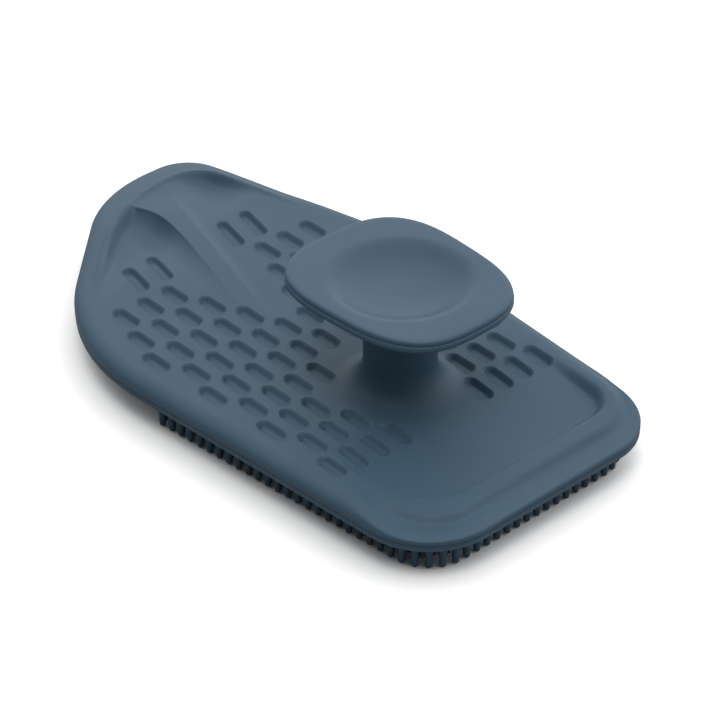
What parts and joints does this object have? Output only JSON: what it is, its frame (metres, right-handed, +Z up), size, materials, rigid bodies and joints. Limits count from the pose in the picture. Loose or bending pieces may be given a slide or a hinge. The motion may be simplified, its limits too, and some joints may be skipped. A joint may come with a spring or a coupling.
{
  "type": "silicone hand scrubber",
  "caption": "Flat silicone hand scrubber with a knob handle, a dimpled deck, a bare scraping nose and a field of soft bristles underneath.",
  "frame": {"origin": "centre of the bounding box in plan, at the level of the bristle tips that the scrubber stands on", "axes": "+X along the plate toward the square end, away from the scraping nose, +Y across it toward the back edge, that the nose leans to, +Z up through the knob"},
  "size_m": [0.136, 0.0728, 0.0341],
  "materials": {
    "silicone": "satin, blue-grey",
    "nylon": "matte, natural"
  },
  "bodies": {
    "root": {"bristle_mat": "silicone", "stiffener_plate": "nylon", "handle_post": "nylon", "deck_skin": "silicone", "knob_head": "silicone"}
  },
  "joints": []
}
